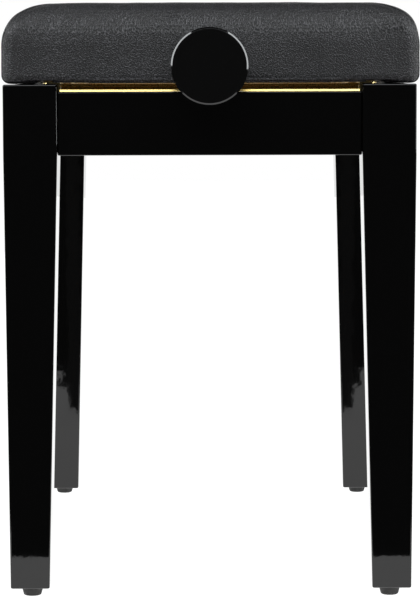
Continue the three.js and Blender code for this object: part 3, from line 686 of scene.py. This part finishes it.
def graded(count, length, first):
    """Fractions 0..1 of a stretch that starts and ends with short steps and has long ones between."""
    half = count // 2
    low, high = 1.0, 2.0
    for _ in range(60):
        growth = (low + high) / 2
        total = first * sum(growth ** i for i in range(half))
        low, high = (growth, high) if total < length / 2 else (low, growth)
    steps = np.array([first * growth ** i for i in range(half)])
    steps = np.concatenate([steps, steps[::-1]])
    return np.concatenate([[0], np.cumsum(steps) / steps.sum()])


def perimeter():
    """For each point round the seat: x = (half_x - r) * ax + r * bx, and the same for y."""
    long_side = graded(SIDE_STEPS, 2 * (HALF_Y - CORNER), FIRST_STEP)
    end_side = graded(END_STEPS, 2 * (HALF_X - CORNER), FIRST_STEP)
    rows = []
    for quarter, (sx, sy) in enumerate(((1, 1), (-1, 1), (-1, -1), (1, -1))):
        for i in range(ARC_STEPS):
            angle = (quarter + i / ARC_STEPS) * math.pi / 2
            rows.append((sx, math.cos(angle), sy, math.sin(angle)))
        end = quarter % 2 == 0
        for f in (end_side if end else long_side)[:-1]:
            run = 1 - 2 * f
            rows.append((run * sx, 0, sy, sy) if end else (sx, sx, run * sy, 0))
    return (np.array(column, float) for column in zip(*rows))


AX, BX, AY, BY = perimeter()


def ring_at(inset_x, inset_y, radius):
    x = (HALF_X - inset_x - radius) * AX + radius * BX
    y = (HALF_Y - inset_y - radius) * AY + radius * BY
    return x, y


def crown(x, y):
    across = np.clip(1 - (x / (HALF_X - SHOULDER_X * CROWN_REACH)) ** 2, 0, 1)
    along = np.clip(1 - (y / (HALF_Y - SHOULDER_Y * CROWN_REACH)) ** 2, 0, 1)
    return CROWN * (across * along) ** CROWN_POWER


def hem_radius(x, y):
    """The bottom edge is soft at the corners and turns tighter between them."""
    along_end = np.abs(y) > HALF_Y - END_BAND
    distance = np.where(along_end, HALF_X - np.abs(x), HALF_Y - np.abs(y))
    blend = smoothstep(distance, HEM_SOFT_TO, HEM_TIGHT_FROM)
    return HEM_SOFT + (HEM_TIGHT - HEM_SOFT) * blend, blend


def section(inset, rows_hem, rows_side, rows_shoulder, rows_flat):
    """Rings from the hem's inner edge under the skirt to the flat of the top, drawn in by inset."""
    rings = []
    bottom = COVER_LO.z + inset
    top = TOP - inset
    side_top = top - SHOULDER_HEIGHT
    x0, y0 = ring_at(inset, inset, CORNER)
    radius, _ = hem_radius(x0, y0)
    for share in (1.0, 0.75, 0.5, 0.25):
        extra = HEM_RETURN * share + (1 - share) * radius
        rings.append((x0 - BX * extra, y0 - BY * extra, bottom + 0 * x0))
    for i in range(rows_hem + 1):
        angle = math.pi / 2 * i / rows_hem
        out = radius * (1 - math.sin(angle))
        rings.append((x0 - BX * out, y0 - BY * out, bottom + radius * (1 - math.cos(angle))))
    for i in range(1, rows_side + 1):
        share = i / rows_side
        z = (bottom + radius) * (1 - share) + side_top * share
        rings.append((x0, y0, z))
    for i in range(1, rows_shoulder + 1):
        angle = math.pi / 2 * i / rows_shoulder
        out = math.cos(angle) ** (2 / SHOULDER_POWER) if i < rows_shoulder else 0.0
        up = math.sin(angle) ** (2 / SHOULDER_POWER)
        inset_x, inset_y = SHOULDER_X * (1 - out), SHOULDER_Y * (1 - out)
        x, y = ring_at(inset + inset_x, inset + inset_y, CORNER + inset_y * CORNER_GROWTH)
        rings.append((x, y, side_top + SHOULDER_HEIGHT * up + crown(x, y)))
    for i in range(1, rows_flat + 1):
        further = inset + FLAT_STEP * i
        radius = CORNER + SHOULDER_Y * CORNER_GROWTH
        x, y = ring_at(SHOULDER_X + further, SHOULDER_Y + further, radius)
        rings.append((x, y, top + crown(x, y)))
    return [np.stack(r, 1) for r in rings]


def grid_cap(ring, start, height):
    """Vertices and faces of a regular grid inside the last ring, whose corners are mid-arc."""
    count = len(ring)
    half = ARC_STEPS // 2
    first = half
    second = first + END_STEPS + ARC_STEPS
    third = second + SIDE_STEPS + ARC_STEPS
    fourth = third + END_STEPS + ARC_STEPS
    columns, rows = END_STEPS + ARC_STEPS, SIDE_STEPS + ARC_STEPS
    index = -np.ones((rows + 1, columns + 1), int)
    index[0, :] = [(first + i) % count for i in range(columns + 1)]
    index[:, columns] = [(second + i) % count for i in range(rows + 1)]
    index[rows, ::-1] = [(third + i) % count for i in range(columns + 1)]
    index[::-1, 0] = [(fourth + i) % count for i in range(rows + 1)]
    number = start + index
    points, following = [], start + count
    edge = {key: ring[index[key]] for key in np.ndindex(index.shape) if index[key] >= 0}
    for r in range(1, rows):
        for c in range(1, columns):
            u, v = c / columns, r / rows
            left, right = edge[(r, 0)], edge[(r, columns)]
            far, near = edge[(0, c)], edge[(rows, c)]
            corners = (1 - u) * (1 - v) * edge[(0, 0)] + u * (1 - v) * edge[(0, columns)]
            corners = corners + (1 - u) * v * edge[(rows, 0)] + u * v * edge[(rows, columns)]
            point = (1 - u) * left + u * right + (1 - v) * far + v * near - corners
            points.append(point)
            number[r, c] = following
            following += 1
    points = np.array(points)
    points[:, 2] = height + crown(points[:, 0], points[:, 1])
    faces = []
    for r in range(rows):
        for c in range(columns):
            face = (number[r, c], number[r, c + 1], number[r + 1, c + 1], number[r + 1, c])
            faces.append(face)
    return points, faces


def skin(inset, rows):
    rings = section(inset, *rows)
    count = len(rings[0])
    points = np.concatenate(rings)
    faces = []
    for level in range(len(rings) - 1):
        for i in range(count):
            a, b = level * count + i, level * count + (i + 1) % count
            faces.append((a, b, b + count, a + count))
    cap, cap_faces = grid_cap(rings[-1], (len(rings) - 1) * count, TOP - inset)
    return np.concatenate([points, cap]), faces + cap_faces, len(rings)


def vertex_normals(points, faces):
    quads = np.array([f if len(f) == 4 else (*f, f[-1]) for f in faces])
    a, b, c, d = (points[quads[:, k]] for k in range(4))
    flat = np.cross(c - a, d - b)
    normals = np.zeros_like(points)
    for k in range(4):
        np.add.at(normals, quads[:, k], flat)
    return normals / np.maximum(np.linalg.norm(normals, axis=1, keepdims=True), 1e-12)


def smoothstep(value, low, high):
    t = np.clip((value - low) / (high - low), 0, 1)
    return t * t * (3 - 2 * t)


PLEAT_REACH = 5 * MM
PLEAT_VALLEY = 1.1 * MM
PLEAT_LOW, PLEAT_TURN = 14, 26  # degrees round the corner at the hem, and further over the shoulder
PLEAT_WANDER = 0.35 * MM
PLEAT_FLAP_HEIGHT, PLEAT_VALLEY_DEPTH = 0.5 * MM, 0.75 * MM
PLEAT_FADE_FROM, PLEAT_FADE_TO = 18 * MM, 34 * MM  # in from the seat's side


def pleat_height(points, ring_count):
    """The folded edge of leather up each vertical corner and over the shoulder."""
    count = len(AX)
    height = np.zeros(len(points))
    x, y, z = points.T
    side_top = TOP - SHOULDER_HEIGHT
    up = smoothstep(z, side_top - 4 * MM, side_top + SHOULDER_HEIGHT * 0.85)
    for level in range(ring_count):
        rows = slice(level * count, (level + 1) * count)
        ring = points[rows]
        rise = up[rows].mean()
        inset = HALF_X - np.abs(ring[:, 0]).max()
        fade = 1 - smoothstep(inset, PLEAT_FADE_FROM, PLEAT_FADE_TO)
        gaps = np.linalg.norm(np.roll(ring, -1, 0) - ring, axis=1)
        travel = np.concatenate([[0], np.cumsum(gaps)])
        total = travel[-1]
        for quarter in range(4):
            toward_side = quarter % 2 == 0
            turn = (PLEAT_LOW + PLEAT_TURN * rise) / 90
            steps = ARC_STEPS * (turn if toward_side else 1 - turn)
            start = quarter * ARC_STEPS + (quarter + 1) // 2 * END_STEPS + quarter // 2 * SIDE_STEPS
            base = start + int(steps)
            line = travel[base] + (steps - int(steps)) * gaps[base % count]
            line += PLEAT_WANDER * noise.noise(Vector((quarter * 7.3, ring[0, 2] * 130, 0.0)))
            d = (travel[:-1] - line + total / 2) % total - total / 2
            d = d if toward_side else -d
            flap = PLEAT_FLAP_HEIGHT * np.exp(-(np.minimum(d, 0) / PLEAT_REACH) ** 2) * (d <= 0)
            valley = PLEAT_VALLEY_DEPTH * np.exp(-(np.maximum(d, 0) / PLEAT_VALLEY) ** 1.5) * (d > 0)
            near = np.abs(d) < 4 * PLEAT_REACH
            height[rows] += np.where(near, (flap - valley) * fade, 0)
    return height


VOXEL = 6 * MM
PRESSURE = 4
SETTLE_FRAMES = 20
SETTLE_CAP = 1.2 * MM  # how far the simulation may move the leather
HELD_BELOW, FREE_ABOVE = 6 * MM, 20 * MM  # above the hem
NEIGHBOURS = 8  # settled points that a point of the skin follows
NEAREST = 2 * MM  # closer than this, one of them counts for no more
FOLD_DROP = 2.1 * MM  # how far the folded corners hang below the hem
SEAT_SHIFT = 0.66 * MM  # the seat sits a little to the right of the base
BOARD_EDGE = 3.4 * MM  # from the seat's outside to the boards inside it
BOARD_ROUND = 2.5 * MM
FULLER_LEFT, FULLER_RIGHT = 0.5 * MM, 2.2 * MM  # how much the shoulders are padded out


def settled(points, faces, count):
    """How a cloth simulation under light pressure moves each point of the skin."""
    closed = list(faces) + [tuple(reversed(range(count)))]
    rough = make_object("settling_skin", points, closed, LEATHER_CLOTH)
    remesh = rough.modifiers.new("remesh", "REMESH")
    remesh.mode = "VOXEL"
    remesh.voxel_size = VOXEL
    depsgraph = bpy.context.evaluated_depsgraph_get()
    mesh = bpy.data.meshes.new_from_object(rough.evaluated_get(depsgraph))
    rough.modifiers.clear()
    rough.data = mesh
    start = np.array([v.co[:] for v in mesh.vertices])
    held = rough.vertex_groups.new(name="held")
    for index, point in enumerate(start):
        free = (point[2] - COVER_LO.z - HELD_BELOW) / (FREE_ABOVE - HELD_BELOW)
        weight = 1 - min(1.0, max(0.0, free))
        held.add([index], weight, "REPLACE")
    cloth = rough.modifiers.new("cloth", "CLOTH").settings
    cloth.use_pressure = True
    cloth.uniform_pressure_force = PRESSURE
    cloth.effector_weights.gravity = 0
    cloth.vertex_group_mass = "held"
    scene = bpy.context.scene
    for number in range(1, SETTLE_FRAMES + 1):
        scene.frame_set(number)
    depsgraph = bpy.context.evaluated_depsgraph_get()
    final = np.array([v.co[:] for v in rough.evaluated_get(depsgraph).data.vertices])
    scene.frame_set(1)
    bpy.data.objects.remove(rough)
    moved = final - start
    moved *= min(1.0, SETTLE_CAP / np.linalg.norm(moved, axis=1).max())
    tree = kdtree.KDTree(len(start))
    for index, point in enumerate(start):
        tree.insert(point, index)
    tree.balance()
    result = np.zeros_like(points)
    for index, point in enumerate(points):
        near = tree.find_n(point, NEIGHBOURS)
        weights = np.array([1 / (d * d + NEAREST ** 2) for _, _, d in near])
        result[index] = weights @ moved[[i for _, i, _ in near]] / weights.sum()
    return result


OUTER_ROWS = (14, 24, 36, 8)  # of the hem, the side, the shoulder and the flat top
INNER_ROWS = (2, 3, 7, 1)
CREASE_AT, CREASE_WIDTH = 2.3 * MM, 0.5 * MM  # above the hem
BEAD_AT, BEAD_WIDTH = 1.0 * MM, 0.6 * MM
CREASE_DEPTH, BEAD_HEIGHT = 0.6 * MM, 0.5 * MM
FULLEST_BELOW_TOP, FULL_HALF = 14 * MM, 9 * MM
FULL_IN, FULL_OUT = 45 * MM, 14 * MM  # in from the seat's side
RIPPLE_SCALE, RIPPLE_TOP, RIPPLE_SIDE = 26, 0.25 * MM, 0.08 * MM
FINE_SCALE, FINE_SCALE_UP, FINE_RIPPLE = 75, 110, 0.12 * MM
CORNER_REACH = 60 * MM
FOLD_IN, FOLD_RADIUS = 9 * MM, 9 * MM  # where the corner folds hang lowest


def gathered(points, ring_count):
    """How far the stitching, pleats, padding and ripples raise each point of the skin."""
    x, y, z = points.T
    _, between = hem_radius(x, y)
    above = z - COVER_LO.z
    outside = (np.abs(x) > HALF_X - 3 * MM) | (np.abs(y) > HALF_Y - 3 * MM)
    crease = CREASE_DEPTH * np.exp(-((above - CREASE_AT) / CREASE_WIDTH) ** 2)
    bead = BEAD_HEIGHT * np.exp(-((above - BEAD_AT) / BEAD_WIDTH) ** 2)
    height = (bead - crease) * between * outside
    height += pleat_height(points, ring_count)
    shoulder = np.exp(-((z - COVER_HI.z + FULLEST_BELOW_TOP) / FULL_HALF) ** 2)
    padding = np.where(x > 0, FULLER_RIGHT, FULLER_LEFT)
    height += padding * shoulder * smoothstep(np.abs(x), HALF_X - FULL_IN, HALF_X - FULL_OUT)
    soft = smoothstep(above, 12 * MM, 45 * MM)
    side = smoothstep(above, 3 * MM, 10 * MM)
    in_x, in_y = HALF_X - np.abs(x), HALF_Y - np.abs(y)
    corner = np.exp(-(in_x ** 2 + in_y ** 2) / CORNER_REACH ** 2)
    ripple = np.array([noise.fractal(Vector(p) * RIPPLE_SCALE, 0.9, 2.0, 3) for p in points])
    finer = points * (FINE_SCALE, FINE_SCALE, FINE_SCALE_UP)
    fine = np.array([noise.noise(Vector(p)) for p in finer])
    height += ripple * (RIPPLE_TOP * soft + RIPPLE_SIDE * side)
    return height + FINE_RIPPLE * fine * corner * side


def cushion_surface():
    points, faces, ring_count = skin(0, OUTER_ROWS)
    points = points + settled(points, faces, len(AX))
    normals = vertex_normals(points, faces)
    x, y, z = points.T.copy()
    points = points + normals * gathered(points, ring_count)[:, None]
    from_x, from_y = HALF_X - np.abs(x) - FOLD_IN, HALF_Y - np.abs(y) - FOLD_IN
    fold = np.exp(-(from_x ** 2 + from_y ** 2) / FOLD_RADIUS ** 2)
    points[:, 2] -= FOLD_DROP * fold * (1 - smoothstep(z - COVER_LO.z, 0.5 * MM, 7 * MM))
    return points, faces


def cushion(material):
    """The leather as one closed skin, with an inner face over the foam."""
    outer, outer_faces = cushion_surface()
    inner, inner_faces, _ = skin(LEATHER, INNER_ROWS)
    count = len(AX)
    offset = len(outer)
    faces = list(outer_faces) + [tuple(offset + v for v in reversed(f)) for f in inner_faces]
    for i in range(count):
        j = (i + 1) % count
        faces.append((j, i, offset + i, offset + j))
    points = np.concatenate([outer, inner]) + np.array((SEAT_SHIFT, 0, 0))
    piece = make_object("seat_cushion", points, faces, material, 180)
    stands_for(piece, "seat", "hide", "leather_cover", "foam_pad")
    return piece


def core_board(node, slot, material):
    """A board of the seat's core, a little narrower than its CAD solid, with broken edges."""
    lo, hi = (Vector(corner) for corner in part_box(node))
    lo.x = max(lo.x, BOARD_EDGE - COVER_HI.x)
    hi.x = min(hi.x, COVER_HI.x - BOARD_EDGE)
    lo.y += BOARD_EDGE
    hi.y -= BOARD_EDGE
    piece = rounded_box(f"{node}.planed", lo, hi, BOARD_ROUND, material, 3)
    stands_for(piece, "seat", slot, node)


FOLD_STEP = 7 * MM  # between the rings of a hem fold
FOLD_END = 1.4 * MM  # length of its rounded end
FOLD_END_STEPS = 3
FOLD_POINTS = 16
FOLD_WAVE = 0.22 * MM
FOLD_INTO_HEM = 0.5 * MM
SIDE_FOLD_X, SIDE_FOLD_REACH, SIDE_FOLD_HALF = 147 * MM, 266 * MM, 11 * MM
END_FOLD_Y, END_FOLD_REACH, END_FOLD_HALF = 267 * MM, 122 * MM, 3.4 * MM
SIDE_FOLD_DEPTH, END_FOLD_DEPTH = 2.7 * MM, 2.2 * MM


def hem_fold(name, start, finish, half_width, depth, material):
    """A strip of leather turned under the seat, doubled on itself and stapled, from start to finish."""
    start, finish = Vector(start), Vector(finish)
    along = (finish - start).normalized()
    across = Vector((-along.y, along.x, 0))
    steps = int((finish - start).length / FOLD_STEP)
    rings = []
    for i in range(-FOLD_END_STEPS, steps + FOLD_END_STEPS + 1):
        past = max(-i, i - steps, 0) / FOLD_END_STEPS
        shrink = math.sqrt(max(0.0, 1 - (past * 0.96) ** 2))
        outward = along if i > 0 else -along
        middle = start.lerp(finish, min(max(i / steps, 0), 1)) + outward * (FOLD_END * past)
        ring = []
        for k in range(FOLD_POINTS):
            angle = 2 * math.pi * k / FOLD_POINTS
            u = math.copysign(abs(math.cos(angle)) ** 0.3, math.cos(angle)) * half_width
            v = math.copysign(abs(math.sin(angle)) ** 0.75, math.sin(angle)) * depth / 2
            wave = FOLD_WAVE * noise.noise(Vector((middle.x * 31, middle.y * 31, u * 60)))
            ring.append(middle + across * (u * shrink) + Vector((0, 0, (v + wave) * shrink)))
        rings.append(ring)
    piece = make_object(name, *loft(rings), material, 60)
    fix_normals(piece)
    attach(piece, "seat")


def hem_folds(material):
    top = COVER_LO.z + FOLD_INTO_HEM
    for side, sign in SIDES:
        x, y, z = sign * SIDE_FOLD_X + SEAT_SHIFT, SIDE_FOLD_REACH, top - SIDE_FOLD_DEPTH / 2
        line = ((x, -y, z), (x, y, z))
        hem_fold(f"hem_fold_{side}", *line, SIDE_FOLD_HALF, SIDE_FOLD_DEPTH, material)
    for end, sign in ENDS:
        x, y, z = END_FOLD_REACH, sign * END_FOLD_Y, top - END_FOLD_DEPTH / 2
        line = ((-x, y, z), (x, y, z))
        hem_fold(f"hem_fold_{end}", *line, END_FOLD_HALF, END_FOLD_DEPTH, material)


# ---------------------------------------------------------------- build

add_camera()
add_lights()
add_world()
add_floor()

LACQUER = lacquer()
KNOB_BLACK = lacquer("knob_gloss", 0.003, 0.09)
LEATHER_CLOTH = leather()
RUBBER = rubber()
BRASS_PLATE = plated("brass_plate", (0.92, 0.72, 0.3), (0.84, 0.62, 0.2), 0.28)
BRASS_BRIGHT = plated("bright_brass_plate", (0.93, 0.77, 0.4), (0.85, 0.65, 0.25), 0.15)
# A darker copy of the brass with a satin roughness: painted shade for the arms deep inside the frame.
BRASS_SATIN_SHADED = plated("shaded_satin_brass_plate", (0.62, 0.46, 0.17), (0.5, 0.36, 0.12), 0.38)
ZINC = plated("zinc_plate", (0.66, 0.66, 0.64), (0.5, 0.5, 0.5), 0.32)
STEEL = plated("turned_steel", (0.5, 0.5, 0.5), (0.36, 0.36, 0.37), 0.28)
BEECH = wood("planed_beech", (0.52, 0.34, 0.19), (0.36, 0.22, 0.11), 90, (1, 0.12, 1))
PLYWOOD = wood("plywood", (0.62, 0.46, 0.28), (0.47, 0.32, 0.18), 45, (1, 0.1, 1))

for place in CORNERS:
    leg(*place, LACQUER)
    foot(place[0], place[2], RUBBER)
for node in ("end_apron_front", "end_apron_rear", "side_apron_left", "side_apron_right"):
    apron(node, LACQUER)
for end, sign in ENDS:
    lower_end_plate(end, sign, BRASS_PLATE)
    knob(end, sign, KNOB_BLACK)
cushion(LEATHER_CLOTH)
hem_folds(LEATHER_CLOTH)
core_board("seat_board", "plywood", PLYWOOD)
for side, _ in SIDES:
    core_board(f"side_skirt_{side}", "hardwood", BEECH)

SLOT_MATERIALS = {
    "brass_plate": BRASS_BRIGHT, "zinc": ZINC, "steel": STEEL, "hardwood": BEECH, "plywood": PLYWOOD,
}
EDGE_WIDTHS = {
    "brass_plate": 0.3 * MM, "zinc": 0.25 * MM, "steel": 0.25 * MM,
    "hardwood": 0.7 * MM, "plywood": 0.5 * MM,
}


def finish_cad_node(name, slot):
    """A CAD node that stays: its slot's material, or on an arm the darker brass that paints shade on
    it, and softened edges.
    """
    node = NODES[name]
    node.data.materials.clear()
    # The arms get the darker brass, which paints shade on them.
    node.data.materials.append(BRASS_SATIN_SHADED if "arm" in name else SLOT_MATERIALS[slot])
    edges = node.modifiers.new("soft_edges", "BEVEL")
    edges.limit_method = "ANGLE"
    edges.angle_limit = math.radians(40)
    edges.width = EDGE_WIDTHS[slot]
    edges.segments = 2
    edges.harden_normals = True


for entry in frame["record"]["subparts"]:
    if not NODES[entry["node"]].hide_render and entry["material_slot"] in SLOT_MATERIALS:
        finish_cad_node(entry["node"], entry["material_slot"])

bpy.context.scene.view_settings.view_transform = "Standard"
bpy.context.view_layer.update()
